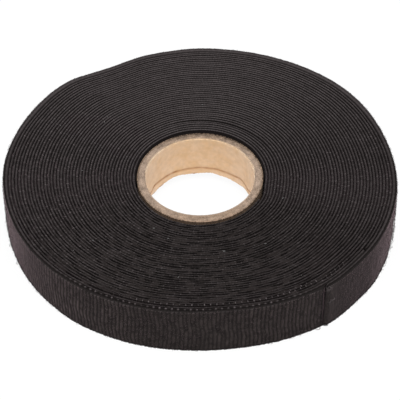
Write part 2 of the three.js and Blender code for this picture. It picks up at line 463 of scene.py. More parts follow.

# Light of the selvedges' threads, which are worn pale unevenly. Painted light makes them lighter at the back
# and away from the front, and painted shade makes them darker in front, at the front right and at the right
SELVEDGE_LIGHT = 0.09
# Shares of it, by the number of the point in strip_section
SELVEDGE_POINTS = {4: 0.9, 5: 1, 6: 0.9, 7: 0.15, 12: 0.2, 13: 1, 14: 1, 15: 0.3}
HOOKED_SLOPE = slice(2, 4)
LOOPED_PILE = slice(8, 10)
in_front = share_near(lengths, FRONT, 34, 40)
at_back = share_near(lengths, BACK, 35, 50)
on_thread = phases % 0.5 == 0
grain = np.random.default_rng(23).uniform(-1, 1, (3, len(lengths)))
uneven = (0.4 + 0.2 * broken - 0.22 * at_back) * grain[0] + 0.2 * np.where(on_thread, 1, -1)
uneven = uneven + (0.15 + 0.35 * in_front) * wander(lengths, 1.9 * MM, 9)
uneven = uneven + 0.3 * in_front * wander(lengths, 7 * MM, 18)
# Painted shade in front, at the front right and at the right, and painted light at the back and away from the
# front
shaded = 0.33 * in_front + 0.1 * share_near(lengths, 308, 14, 26) + 0.12 * share_near(lengths, 350, 40, 60)
behind = 1 - share_near(lengths, FRONT, 40, 60)
worn_and_painted_light = (SELVEDGE_LIGHT + 0.075 * at_back + 0.13 * bulge) * np.clip(1 + uneven, 0, 3)
worn_and_painted_light = worn_and_painted_light * (0.98 - shaded + 0.14 * behind)
crossing = on_thread * (0.04 + 0.1 * unit(grain[1:])) * (1 - 0.5 * in_front) * (1 - at_back)
brightness = np.zeros_like(across)
for point, share in SELVEDGE_POINTS.items():
    brightness[:, point] = share * worn_and_painted_light
brightness[:, LOOPED_PILE] = (in_front * (0.03 + 0.1 * filled) + crossing[0])[:, None]
brightness[:, HOOKED_SLOPE] = crossing[1][:, None]

STRETCHES = 4
last = len(lengths) - 1
for number in range(STRETCHES):
    part = slice(round(last * number / STRETCHES), round(last * (number + 1) / STRETCHES) + 1)
    wind(f"tape_turns_{number + 1}", lengths[part], across[part], heights[part], brightness[part],
         (LOOPED_PILE.start, LOOPED_PILE.stop))


# The outer turn
# The same strip with its loops open to view and loose, in rows across the tape like low ribs. A narrow
# groove parts them from its selvedge, which the weft threads scallop in front. Its cut end is pressed thin
# and a little frayed.
RIB_SPACING = 1.37 * MM
STEPS_PER_RIB = 6
RIB_HEIGHT = 0.38 * MM
RIB_STRAY = 0.3 * MM
RIB_STRAY_LENGTH = 23 * MM
RIB_BEND = 90 * MM
# Angle, half width and fade of the part whose loops lie in ribs
RIBBED_PART = (264, 38, 14)
FACE_ROWS = 30
PILE_DROP = 0.3 * MM
GROOVE_DEPTH = 0.75 * MM
LOWER_PILE_EDGE = 0.5 * MM
EDGE_ROUND = 0.12 * MM
END_TAPER = 1.2 * MM
END_DROP = 0.9 * MM
END_LEAN = 0.9 * MM
SCALLOP = 0.26 * MM
SCALLOP_WIDTH = 0.42 * MM
SCALLOP_SHIFT = 0.18 * MM
PILE_LIGHT = 0.38
# Height, angle and half width of the swells along the loops' upper and lower edges
UPPER_EDGE_SWELLS = [(0.15 * MM, 3, 25), (0.28 * MM, 177, 12)]
LOWER_EDGE_SWELLS = [(0.3 * MM, 275, 13), (0.25 * MM, 232, 12), (0.2 * MM, 328, 8), (-0.36 * MM, 348, 12),
                     (0.35 * MM, 1, 6), (0.25 * MM, 179, 5), (-0.2 * MM, 197, 22)]


def rib_bend(lengths, row_share):
    """How far a rib strays along the tape, at shares of the way down from its upper end"""
    return RIB_STRAY * wander(lengths - OUTER_TURN_START + row_share * RIB_BEND, RIB_STRAY_LENGTH, 13)


outer_steps = int((STRIP_LENGTH - OUTER_TURN_START) / (RIB_SPACING / STEPS_PER_RIB))
outer_lengths = np.linspace(OUTER_TURN_START, STRIP_LENGTH, outer_steps + 1)
turns = turns_at(outer_lengths)
outer_degrees = START_ANGLE - 360 * turns
# Degrees past the tape's end. This turn comes into view there, and its second half runs on to the end itself
past_end = (turns - TURNS + 1) * 360
first_half = past_end < 180
uncovered = unit(past_end / 0.3 + 1.5)
from_end = STRIP_LENGTH - outer_lengths
to_end = unit(1 - from_end / END_TAPER)
end_drop = END_DROP * to_end ** 3
in_front = share_near(outer_lengths, 263, 25, 15)
at_back = share_near(outer_lengths, BACK, 60, 30)

# The scalloped selvedge
SCALLOP_POINT = 0.8
weft_places = outer_lengths + SCALLOP_SHIFT
from_weft = np.abs((weft_places / WEFT_SPACING + 0.5) % 1 - 0.5) * WEFT_SPACING
weft_number = np.rint((weft_places - OUTER_TURN_START) / WEFT_SPACING).astype(int)
weft_size = np.random.default_rng(16).uniform(0.4, 1, weft_number.max() + 1)
bulge = np.exp(-(from_weft / SCALLOP_WIDTH) ** 2) * weft_size[weft_number]
top, bottom = strip_edges(outer_lengths, np.ones_like(outer_lengths))[:2]
top = TAPE_WIDTH + (top - TAPE_WIDTH + EDGE_DROP) * 0.4 - end_drop
top = top + SCALLOP * in_front * (bulge - SCALLOP_POINT)
bottom = 0.3 * (bottom - 0.04 * MM)
near = 0.28 + 0.05 * wander(outer_lengths, 9 * MM, 12) - 0.14 * in_front * bulge
selvedge = 0.98 - 0.25 * to_end ** 3
grooved = share_near(outer_lengths, 274, 38, 20)
edge_out = selvedge - (0.1 + 0.3 * in_front) * (1 - bulge) - 0.16 * grooved
groove = selvedge + 0.2
groove_depth = GROOVE_DEPTH * (1 - 0.7 * at_back)

# The loops' face: ribs in front and an even nap elsewhere, in tufts of uneven strength
rows = np.linspace(0, 1, FACE_ROWS + 1)
rib_places = outer_lengths[:, None] + rib_bend(outer_lengths[:, None], rows)
rib = np.abs(np.sin(np.pi * rib_places / RIB_SPACING))
rib_number = (rib_places / RIB_SPACING).astype(int)
rib_number -= rib_number.min()
tufts = np.random.default_rng(11).uniform(0, 1, (rib_number.max() + 1, FACE_ROWS + 3))
tufts = (tufts[:, :-2] + tufts[:, 1:-1] + 0.5 * tufts[:, 2:]) / 2.5
tuft_size = 0.1 + 0.9 * tufts[rib_number, np.arange(FACE_ROWS + 1)] ** 1.2
tuft_size = tuft_size * np.random.default_rng(12).uniform(0.7, 1, rib.shape)
mottled = np.random.default_rng(22).uniform(0, 1, rib.shape)
ribbed = (share_near(outer_lengths, *RIBBED_PART) * first_half)[:, None]
at_front_left = share_near(outer_lengths, 230, 12, 16)
rib_size = 0.15 + 0.7 * ribbed + 0.3 * at_front_left[:, None]
relief = tuft_size * (rib * rib_size + 0.2 * mottled + (1 - ribbed) * (0.1 + 0.2 * mottled))

pushed_up = 0.45 * MM * np.exp(-(past_end / 4.5) ** 2) * uncovered + 0.32 * MM * at_back
outer_face = selvedge + 0.08 + (LOOSE_PILE + pushed_up) / TURN_PITCH * uncovered * (1 - 0.5 * to_end ** 3)
upper_swell = bumps(outer_degrees, UPPER_EDGE_SWELLS) / TURN_PITCH
lower_swell = bumps(outer_degrees, LOWER_EDGE_SWELLS) / TURN_PITCH
face_across = outer_face[:, None] - 0.02 + RIB_HEIGHT / TURN_PITCH * (relief - 0.4)
face_across = face_across + upper_swell[:, None] * (1 - rows) + lower_swell[:, None] * rows
face_across[:, [0, -1]] -= 0.15
pressed = 0.5 * unit(1.6 - past_end / 0.4) * (past_end > -0.5)
face_across = face_across - pressed[:, None] * unit(8 * (1 - rows) - 0.4)
face_top = TAPE_WIDTH - PILE_DROP * (1 - 0.8 * at_back) - end_drop
face_top = face_top + 0.06 * MM * wander(outer_lengths, 1.3 * MM, 19)
face_bottom = bottom + LOWER_PILE_EDGE
face_heights = face_top[:, None] * (1 - rows) + face_bottom[:, None] * rows

# The section, as in strip_section: hooked side and selvedge, the loops' face, and the lower edge
inner = np.full_like(top, FACE_SHARE)
slope = (inner + near) / 2
upper_points = [
    (inner, bottom + HOOK_DEPTH), (inner, top - HOOK_DEPTH), (slope, top - 0.75 * HOOK_DEPTH),
    (near, top - 2 * EDGE_ROUND), (near + 0.15, top), (edge_out - 0.12, top), (edge_out, top - EDGE_ROUND),
    (edge_out - 0.06, top - 0.8 * groove_depth), (groove - 0.1, top - groove_depth),
    (groove, face_top - 0.1 * MM),
]
torn = 0.22 * np.random.default_rng(24).uniform(-0.6, 1, (len(outer_lengths), 3)) + lower_swell[:, None]
lower_points = [
    (outer_face - 0.15 + torn[:, 0], bottom + 0.8 * LOWER_PILE_EDGE),
    (outer_face - 0.05 + torn[:, 1], bottom + 1.5 * EDGE_ROUND), (outer_face - 0.1 + torn[:, 2], bottom),
    (near + 0.15, bottom), (near, bottom + 2 * EDGE_ROUND), (slope, bottom + 0.75 * HOOK_DEPTH),
]
across, heights = zip(*upper_points, (face_across, face_heights), *lower_points)
across = np.column_stack(across)
heights = np.column_stack(heights)

# Light of the selvedge and of the loops. In two bands in front the ribs' valleys are painted darker and their
# crests lighter, as painted shade and highlight. The layer below the tape's end is painted dark as its
# shadow, and the loops are darker over the last stretch before the end
FIRST_FACE_POINT = len(upper_points)
PILE_POINTS = (FIRST_FACE_POINT + 1, FIRST_FACE_POINT + FACE_ROWS)
EDGE_POINTS = {3: 0.7, 4: 1, 5: 1, 6: 0.8, 7: 0.1}
BACK_GROOVE_POINTS = {7: 0.07, 8: 0.06, 9: 0.08, 10: 0.2, 11: 0.16}
GROOVE_WALL_POINTS = slice(6, 8)
LOWER_EDGE_POINTS = slice(-6, -2)
DARKER_END_LENGTH = 60 * MM
# Painted light: the selvedge's edge is lighter at the back and darker in front
edge_light = 0.08 - 0.06 * in_front + 0.08 * at_back + 0.02 * wander(outer_lengths, 4 * MM, 14)
edge_light = edge_light + (0.05 + 0.32 * in_front) * bulge
# Painted shade in the ribs' valleys and painted highlight on their crests, in two bands in front
painted_rib_shade = (at_front_left + 0.6 * share_near(outer_lengths, 296, 10, 14) * first_half)[:, None]
pile_light = rib * (0.15 + 0.6 * ribbed) + 0.35 * mottled + (1 - ribbed) * (0.15 + 0.4 * mottled)
pile_light = np.clip(pile_light + painted_rib_shade * (0.4 * rib ** 2 - 0.3 * (1 - rib)), 0, 2) * PILE_LIGHT * tuft_size
# Painted shadow of the tape's end on the layer below it
in_shadow = unit(2.2 - past_end / 0.9)
# The loops are darker over the last stretch before the end
darker_near_end = 1 - 0.6 * np.exp(-(from_end / DARKER_END_LENGTH) ** 2)
near_end = np.exp(-from_end / END_REACH)
pile_light = pile_light * ((1 - in_shadow) * darker_near_end)[:, None]
pile_light = pile_light + near_end[:, None] * (0.1 + 0.22 * mottled ** 2)
brightness = np.zeros_like(across)
for point, share in EDGE_POINTS.items():
    brightness[:, point] = share * edge_light
brightness[:, slice(*PILE_POINTS)] = pile_light[:, 1:-1]
# Painted light: the groove and the pile's top rows are lighter at the back
for column, (point, share) in enumerate(BACK_GROOVE_POINTS.items()):
    painted_back_light = at_back * share * (0.5 + 0.9 * mottled[:, column])
    brightness[:, point] = np.maximum(brightness[:, point], painted_back_light)
brightness[:, LOWER_EDGE_POINTS] = 0.25 * mottled[:, 1:5]
# Painted shade: the groove's walls are darker between the scallops
brightness[:, GROOVE_WALL_POINTS] *= (1 - 0.7 * grooved * (1 - bulge))[:, None]
wind("tape_outer_turn", outer_lengths, across, heights, brightness, PILE_POINTS, END_LEAN)


# Weft threads on the selvedges
# Where the nylon weft threads turn back over the selvedges of the last turns, they stand up as half rings.
# They show as a row of pale stitches on the third turn from the outside, and as single ones on the next.
WEFT_TURNS = 5
WEFT_BEND = 0.24 * MM
# Bend radius, thread radius, degrees, sides and steps, as for all the thread shapes
WEFT_SHAPE = (WEFT_BEND, 0.2 * MM, 180, 6, 5)
THIRD_TURN_LIGHT = 0.42


def thread_shape(bend_radius, thread_radius, degrees, sides, steps):
    """Points and triangles of a thread bent in the plane of x and y, with both ends closed"""
    form = bmesh.new()
    upright = Matrix.Translation((bend_radius, 0, 0)) @ Matrix.Rotation(math.pi / 2, 4, "X")
    bmesh.ops.create_circle(form, cap_ends=True, radius=thread_radius, segments=sides, matrix=upright)
    around = list(form.verts) + list(form.edges) + list(form.faces)
    bmesh.ops.spin(form, geom=around, axis=(0, 0, 1), cent=(0, 0, 0), angle=math.radians(degrees),
                   steps=steps)
    bmesh.ops.holes_fill(form, edges=[edge for edge in form.edges if edge.is_boundary], sides=0)
    bmesh.ops.triangulate(form, faces=form.faces)
    bmesh.ops.recalc_face_normals(form, faces=form.faces)
    form.verts.index_update()
    points = np.array([vert.co for vert in form.verts])
    triangles = np.array([[vert.index for vert in face.verts] for face in form.faces])
    form.free()
    return points, triangles


def scatter(name, shape, places, axes, brightness, material):
    """One piece of many copies of a small shape. axes holds the directions and sizes of its x, y and z"""
    points, triangles = shape
    spots = (places[:, None, :] + np.einsum("pk,nkc->npc", points, axes)).reshape(-1, 3)
    corners = (triangles[None] + len(points) * np.arange(len(places))[:, None, None]).reshape(-1, 3)
    mesh = bpy.data.meshes.new(name)
    mesh.vertices.add(len(spots))
    mesh.vertices.foreach_set("co", spots.astype(np.float32).ravel())
    mesh.loops.add(corners.size)
    mesh.loops.foreach_set("vertex_index", corners.astype(np.int32).ravel())
    mesh.polygons.add(len(corners))
    mesh.polygons.foreach_set("loop_start", np.arange(0, corners.size, 3, dtype=np.int32))
    mesh.update(calc_edges=True)
    mesh.shade_smooth()
    light = mesh.attributes.new("thread_light", "FLOAT", "POINT")
    light.data.foreach_set("value", np.repeat(brightness, len(points)).astype(np.float32))
    piece = bpy.data.objects.new(name, mesh)
    scene.collection.objects.link(piece)
    put_on_roll(piece, material)


def directions(lengths):
    """Unit directions along the strip and out from it, as arrays of x, y and z"""
    middle = np.full(len(lengths), 0.5)
    step = 0.2 * MM
    further = np.minimum(lengths + step, STRIP_LENGTH)
    along = on_strip(further, middle) - on_strip(further - 2 * step, middle)
    along = np.column_stack([along / np.linalg.norm(along, axis=1)[:, None], np.zeros(len(lengths))])
    return along, np.column_stack([-along[:, 1], along[:, 0], np.zeros(len(lengths))])


seeded = np.random.default_rng(21)
up = np.array([0, 0, 1.0])
weft_places = np.arange(int(length_at(TURNS - WEFT_TURNS) / WEFT_SPACING), weft_count) * WEFT_SPACING
from_outside = TURNS - turns_at(weft_places)
third_turn = (from_outside > 2) & (from_outside < 3)
fourth_turn = (from_outside > 3) & (from_outside < 4)
weft_places = weft_places + 0.11 * MM * third_turn
weft_light = np.where(third_turn, THIRD_TURN_LIGHT * share_near(weft_places, 282, 31, 10),
                      0.1 * share_near(weft_places, 273, 22, 16))
weft_light = weft_light + 0.3 * fourth_turn * share_near(weft_places, 310, 9, 9)
weft_light = weft_light * seeded.uniform(0.4, 1, len(weft_places))
along, out = directions(weft_places)
weft_axes = np.stack([out, np.broadcast_to(up, out.shape), along], 1)
weft_axes = weft_axes * (0.4 + 0.6 * np.sqrt(weft_light / THIRD_TURN_LIGHT))[:, None, None]
plan = on_strip(weft_places, np.where(third_turn, 0.42, 0.6))
weft_loops = np.column_stack([plan, np.full(len(plan), TAPE_WIDTH - WEFT_BEND - 0.02 * MM)])
scatter("tape_weft_loops", thread_shape(*WEFT_SHAPE), weft_loops, weft_axes, weft_light, woven_nylon)


# Fuzz and hairs
# The loops of the outer face are fine crimped threads, and some have been pulled up into hairs. Both are
# small bent threads, thicker and fewer than the real ones so that they show. The fuzz keeps to the crests of
# the ribs in front.
FUZZ_PIECES = 3
FUZZ_COUNT = 8500
FUZZ_REACH = 0.985
FUZZ_SHAPE = (0.28 * MM, 0.025 * MM, 180, 3, 3)
HAIR_COUNT = 1500
HAIR_SHAPE = (0.35 * MM, 0.022 * MM, 150, 3, 5)
# The first of the hairs stand along the upper edge, and the next along the lower one
UPPER_HAIRS = slice(0, 500)
LOWER_HAIRS = slice(500, 800)


def standing(lengths, lean, size, tall=1, tilt=0):
    """Axes of bent threads on the tape's face. lean turns their feet from along the tape to upright"""
    along, out = directions(lengths)
    side = along * np.cos(lean)[:, None] + up * np.sin(lean)[:, None]
    rise = out * tall + up * tilt
    return np.stack([side * size[:, None], rise * size[:, None], np.cross(side, out)], 1)


def on_face(lengths, sunk, heights):
    """Places on the outer turn's face, sunk into it by a share of the strip's thickness"""
    return np.column_stack([on_strip(lengths, np.interp(lengths, outer_lengths, outer_face - sunk)), heights])


outer_ribs = int((STRIP_LENGTH - OUTER_TURN_START) * FUZZ_REACH / RIB_SPACING)
for number in range(FUZZ_PIECES):
    crest = np.ceil(OUTER_TURN_START / RIB_SPACING) + seeded.integers(0, outer_ribs, FUZZ_COUNT) + 0.5
    fuzz_heights = seeded.uniform(0.15 * MM, TAPE_WIDTH - 1.5 * PILE_DROP, FUZZ_COUNT)
    rib_line = crest * RIB_SPACING
    spread = 0.45 - 0.28 * share_near(rib_line, *RIBBED_PART)
    rib_line = rib_line + seeded.normal(0, 1, FUZZ_COUNT) * spread * RIB_SPACING
    fuzz_lengths = rib_line - rib_bend(rib_line, 1 - fuzz_heights / TAPE_WIDTH)
    fuzz_lengths = np.minimum(fuzz_lengths, STRIP_LENGTH - 0.5 * MM)
    lean = seeded.uniform(-math.pi / 2, math.pi / 2, FUZZ_COUNT)
    size = seeded.uniform(0.5, 1.2, FUZZ_COUNT)
    tall = seeded.uniform(0.5, 1.4, FUZZ_COUNT)[:, None]
    # Painted shadow: fuzz below the tape's end is darker, like the layer it lies on
    lit = 1 - np.interp(fuzz_lengths, outer_lengths, in_shadow)
    scatter(f"tape_fuzz_{number + 1}", thread_shape(*FUZZ_SHAPE), on_face(fuzz_lengths, 0.04, fuzz_heights),
            standing(fuzz_lengths, lean, size, tall), lit * seeded.uniform(0.1, 0.4, FUZZ_COUNT), loop_pile)

hair_lengths = seeded.uniform(OUTER_TURN_START + 25 * MM, STRIP_LENGTH - 1 * MM, HAIR_COUNT)
hair_heights = TAPE_WIDTH * seeded.uniform(0.02, 0.97, HAIR_COUNT)
hair_heights[UPPER_HAIRS] = TAPE_WIDTH * 0.97
hair_heights[LOWER_HAIRS] = TAPE_WIDTH * 0.015
lean = seeded.uniform(-math.pi / 2, math.pi / 2, HAIR_COUNT)
tilt = seeded.uniform(-0.3, 0.5, HAIR_COUNT)[:, None]
size = seeded.uniform(0.6, 1.5, HAIR_COUNT)
size[LOWER_HAIRS] *= 1.5
scatter("tape_hairs", thread_shape(*HAIR_SHAPE), on_face(hair_lengths, 0.1, hair_heights),
        standing(hair_lengths, lean, size, tilt=tilt), seeded.uniform(0.2, 0.8, HAIR_COUNT), loop_pile)


# Lint
# Specks of white household dust that cling to the upper face, each a short curl. The first is the largest,
# and lies in front of the core.
LINT_COUNT = 26
LINT_SHAPE = (0.3 * MM, 0.06 * MM, 120, 4, 4)
LARGEST_LINT = 1.4
lint_angle = seeded.uniform(0, 2 * np.pi, LINT_COUNT)
lint_radius = seeded.uniform(26, 64, LINT_COUNT) * MM
lint_places = np.column_stack([core_middle.x + lint_radius * np.cos(lint_angle),
                               core_middle.y + lint_radius * np.sin(lint_angle),
                               np.full(LINT_COUNT, TAPE_WIDTH)])
lint_places[0, :2] = (core_middle.x + 8.0 * MM, core_middle.y - 36.4 * MM)
lint_turn = seeded.uniform(0, 2 * np.pi, LINT_COUNT)
lint_size = seeded.uniform(0.5, 1.2, LINT_COUNT)
lint_size[0] = LARGEST_LINT
flat_x = np.column_stack([np.cos(lint_turn), np.sin(lint_turn), np.zeros(LINT_COUNT)])
flat_y = np.column_stack([-flat_x[:, 1], flat_x[:, 0], np.zeros(LINT_COUNT)])
lint_axes = np.stack([flat_x, flat_y, np.broadcast_to(up, flat_x.shape)], 1) * lint_size[:, None, None]
# White dust, so thin over the black tape that it looks grey, with nothing of the nylon's sheen
white_lint, lint_tree = blank_material("white_lint")
dust = add_node(lint_tree, "ShaderNodeBsdfPrincipled", Base_Color=linear("#8f8f8e"), Roughness=0.9)
add_node(lint_tree, "ShaderNodeOutputMaterial", None, {"Surface": dust.outputs[0]})
scatter("tape_lint", thread_shape(*LINT_SHAPE), lint_places, lint_axes, np.clip(lint_size - 0.35, 0.2, 1),
        white_lint)


# The frayed end
# The tape's cut end sheds short threads all along it, with tufts of paler ones near the top, the middle and
# the bottom, and a few long ones that were drawn out in cutting.
FRAY_SHAPE = (0.4 * MM, 0.05 * MM, 180, 4, 5)
SHORT_COUNT = 60
SHORT_LIGHT = 0.15
TUFT_LIGHT = 0.5
# Middle height, spread and number of threads in each tuft
TUFTS = [(18.3 * MM, 0.5 * MM, 14), (11.5 * MM, 0.4 * MM, 10), (0.8 * MM, 0.3 * MM, 6)]
MIDDLE_TUFT = slice(-16, -6)
LOWEST_THREAD = 0.3 * MM
HIGHEST_THREAD = TAPE_WIDTH - 0.5 * MM
# Distance back from the end, height, lean, size and light. The fourth lies on the layer below, and the last
# four are dark ones at the lower corner
one_turn_back = STRIP_LENGTH - length_at(TURNS - 1)
LONG_THREADS = [
    (1.5 * MM, 19.2 * MM, 0.8, 1.9, 0.5), (2.6 * MM, 12.6 * MM, 0.1, 2.1, 0.5),
    (1.4 * MM, 12.0 * MM, -0.6, 1.5, 0.5), (one_turn_back - 2.6 * MM, LOWEST_THREAD, 0.2, 2.6, 1.0),
] + [(back * MM, LOWEST_THREAD, 0.1, 1.5, 0.1) for back in (0, 0.2, 0.45, 0.7)]
fray_heights = np.concatenate([seeded.uniform(0.2 * MM, TAPE_WIDTH - 0.6 * MM, SHORT_COUNT)]
                              + [seeded.normal(*tuft) for tuft in TUFTS])
fray_count = len(fray_heights)
fray_lengths = STRIP_LENGTH - np.abs(seeded.normal(0.5 * MM, 0.7 * MM, fray_count))
fray_lengths[MIDDLE_TUFT] = STRIP_LENGTH - seeded.uniform(1.0 * MM, 2.6 * MM, 10)
# A long thread keeps the direction drawn for it, and its foot moves to its own place
feet = fray_lengths.copy()
lean = seeded.uniform(-math.pi / 2, math.pi / 2, fray_count)
size = seeded.uniform(0.6, 1.3, fray_count)
fray_light = np.where(np.arange(fray_count) < SHORT_COUNT, SHORT_LIGHT, TUFT_LIGHT)
fray_light = fray_light * seeded.uniform(0.5, 1, fray_count)
for number, (back, height, thread_lean, thread_size, thread_light) in enumerate(LONG_THREADS):
    thread = -1 - number
    feet[thread] = STRIP_LENGTH - back
    fray_heights[thread] = height
    lean[thread] = thread_lean
    size[thread] = thread_size
    fray_light[thread] = thread_light
fray_places = on_face(feet, 0.1, np.clip(fray_heights, LOWEST_THREAD, HIGHEST_THREAD))
scatter("tape_frayed_end", thread_shape(*FRAY_SHAPE), fray_places, standing(fray_lengths, lean, size),
        fray_light, woven_nylon)


# The core
# A short tube of spirally wound paper: a smooth kraft liner, plies of grey board and a dull tan wrap, glued
# to each other. It was sawn to length, so its rims are rough and a little wavy, and its cut plies show.
LINER_THICKNESS = 0.5 * MM
BOARD_THICKNESS = 2.2 * MM
WRAP_THICKNESS = 0.4 * MM
GLUE_GAP = 0.01 * MM
CORE_STEPS = 900
RIM_ROUND = 0.12 * MM
RIM_POINT_SPACING = 0.1 * MM
OUTSIDE_POINTS = 12
# Height of the knife line round the bore above the lower rim. Points stand close together near it
SCORE_HEIGHT = 2.65 * MM
# Height, angle and half width of the waves in the lower rim, and how far above it they fade out
RIM_WAVES = [(-0.5 * MM, 148, 9), (-0.35 * MM, 138, 9), (0.5 * MM, 117, 16), (-0.2 * MM, 96, 5),
             (0.45 * MM, 78, 13), (0.5 * MM, 35, 9)]
RIM_WAVE_FADE = 1.2 * MM
RIM_ROUGHNESS = 0.12 * MM
bore_radius = CORE_RADIUS - LINER_THICKNESS - BOARD_THICKNESS - WRAP_THICKNESS
board_in = bore_radius + LINER_THICKNESS
wrap_in = board_in + BOARD_THICKNESS


def mottle(angle, patches, seed, place=0):
    """A smooth random field from -1 to 1, with so many patches round the core and one a unit of place"""
    place = place + np.zeros_like(angle)
    knots = np.random.default_rng(seed).uniform(-1, 1, (patches, int(place.max()) + 3))
    around = angle / (2 * np.pi) % 1 * patches
    low = np.floor(around).astype(int)
    row = np.floor(place).astype(int)
    part = eased(around - low)
    step = eased(place - row)
    this_row = knots[low % patches, row] * (1 - part) + knots[(low + 1) % patches, row] * part
    next_row = knots[low % patches, row + 1] * (1 - part) + knots[(low + 1) % patches, row + 1] * part
    return this_row * (1 - step) + next_row * step


def ring(name, section, shape_and_light):
    """A closed ring: a section of radii and heights all round the core's axis, then shaped by a function"""
    mesh, step, point = section_grid(name, CORE_STEPS + 1, len(section))
    angle = 2 * np.pi * (step % CORE_STEPS) / CORE_STEPS
    radius, height = np.array(section)[point].T
    radius, height, light = shape_and_light(angle, np.degrees(angle), radius, height)
    places = np.column_stack([core_middle.x + radius * np.cos(angle),
                              core_middle.y + radius * np.sin(angle), height])
    piece = closed_piece(mesh, places, "paper_light", unit(light))
    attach(piece, "core")
    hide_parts(name.removesuffix("_paper"))
    return piece


def tube_section(inner, outer, spacing=RIM_POINT_SPACING):
    """Radii and heights round a tube's section, with close points on its rims and by the knife line"""
    low = core_low.z
    high = core_high.z
    score = low + SCORE_HEIGHT
    across = np.linspace(inner, outer, max(3, round((outer - inner) / spacing) + 1))
    outside = np.linspace(low + RIM_ROUND, high - RIM_ROUND, OUTSIDE_POINTS)
    inside = np.concatenate([
        [high - RIM_ROUND, high - 2.5 * RIM_ROUND, high - 5 * RIM_ROUND],
        np.linspace(high - 1 * MM, score + 2 * MM, 18), score + np.linspace(1.2, -1.2, 17) * MM,
        [low + 1.1 * MM, low + 0.7 * MM, low + 0.3 * MM, low + RIM_ROUND],
    ])
    return ([(outer, height) for height in outside] + [(radius, high) for radius in across[::-1]]
            + [(inner, height) for height in inside] + [(radius, low) for radius in across])


def lower_rim(angle, height):
    """Heights with the lower rim's waves, which fade out above it"""
    fade = unit(1 - (height - core_low.z) / RIM_WAVE_FADE)
    return height + fade * (bumps(np.degrees(angle), RIM_WAVES) + RIM_ROUGHNESS * mottle(angle, 260, 31))


# How much more of the tint there is at the core's sides, for each square metre of x squared, which is painted
# light, and the size of the clouds of tint in the pulp
PAINTED_SIDE_TINT = 1200.0
CLOUD_SIZE = 3.846 * MM


def paper(name, dark, pale, tint, grain_size, grain_share):
    """Dull paper between two colours by the attribute paper_light, with a tint in patches and, as painted
    light, more tint at the sides, and with grain of a size in metres"""
    material, tree = blank_material(name)
    spot = add_node(tree, "ShaderNodeTexCoord").outputs["Object"]
    grain = add_node(tree, "ShaderNodeTexNoise", None, {"Vector": spot}, Scale=1 / grain_size, Detail=3.0)
    shade = add_node(tree, "ShaderNodeMapRange", None, {"Value": grain.outputs["Fac"]}, From_Min=0.3,
                     From_Max=0.7, To_Min=1 - grain_share, To_Max=1 + grain_share)
    given = add_node(tree, "ShaderNodeAttribute", {"attribute_name": "paper_light"})
    cloud = add_node(tree, "ShaderNodeTexNoise", None, {"Vector": spot}, Scale=1 / CLOUD_SIZE, Detail=2.0)
    across = add_node(tree, "ShaderNodeSeparateXYZ", None, {"Vector": spot}).outputs["X"]
    aside = add_node(tree, "ShaderNodeMath", {"operation": "MULTIPLY"}, {0: across, 1: across})
    spread = add_node(tree, "ShaderNodeMath", {"operation": "MULTIPLY_ADD"},
                      {0: aside.outputs[0], 2: cloud.outputs["Fac"]})
    spread.inputs[1].default_value = PAINTED_SIDE_TINT
    patch = add_node(tree, "ShaderNodeMapRange", None, {"Value": spread.outputs[0]}, From_Min=0.35,
                     From_Max=0.95)
    upper = add_node(tree, "ShaderNodeMix", {"data_type": "RGBA"}, {"Factor": patch.outputs["Result"]},
                     A=linear(pale), B=linear(tint))
    mixed = add_node(tree, "ShaderNodeMix", {"data_type": "RGBA"},
                     {"Factor": given.outputs["Fac"], "B": upper.outputs["Result"]}, A=linear(dark))
    toned = add_node(tree, "ShaderNodeVectorMath", {"operation": "SCALE"},
                     {0: mixed.outputs["Result"], "Scale": shade.outputs["Result"]})
    surface = add_node(tree, "ShaderNodeBsdfPrincipled", None, {"Base Color": toned.outputs["Vector"]},
                       Roughness=0.85, Specular_IOR_Level=0.25)
    add_node(tree, "ShaderNodeOutputMaterial", None, {"Surface": surface.outputs[0]})
    return material


# The core's liner
# One smooth ply of tan kraft paper round the bore, with a knife line scored round it near its lower rim, and
# small burrs. Its sawn edge is grey like the board, except at the back, where its tan is seen.
SCORE_HALF_WIDTH = 0.52 * MM
SCORE_DEPTH = 0.12 * MM
SCORE_ROUGHNESS = 0.1 * MM
SAWN_DEPTH = 0.45 * MM
# Height, angle and half width of the waves in the knife line
SCORE_WAVES = [(-0.6 * MM, 157, 8), (0.3 * MM, 147, 10), (0.25 * MM, 122, 14), (0.65 * MM, 39, 13),
               (-0.9 * MM, 27, 8)]
BURRS = [(1, 138, 9), (1, 96, 5)]
BURR_HEIGHT = 0.5 * MM
EDGE_BAND = 0.15 * MM
# Size of the clumps of fibre that make the grain of smooth paper and of sawn board
KRAFT_GRAIN = 1.4286 * MM
BOARD_GRAIN = 0.4 * MM


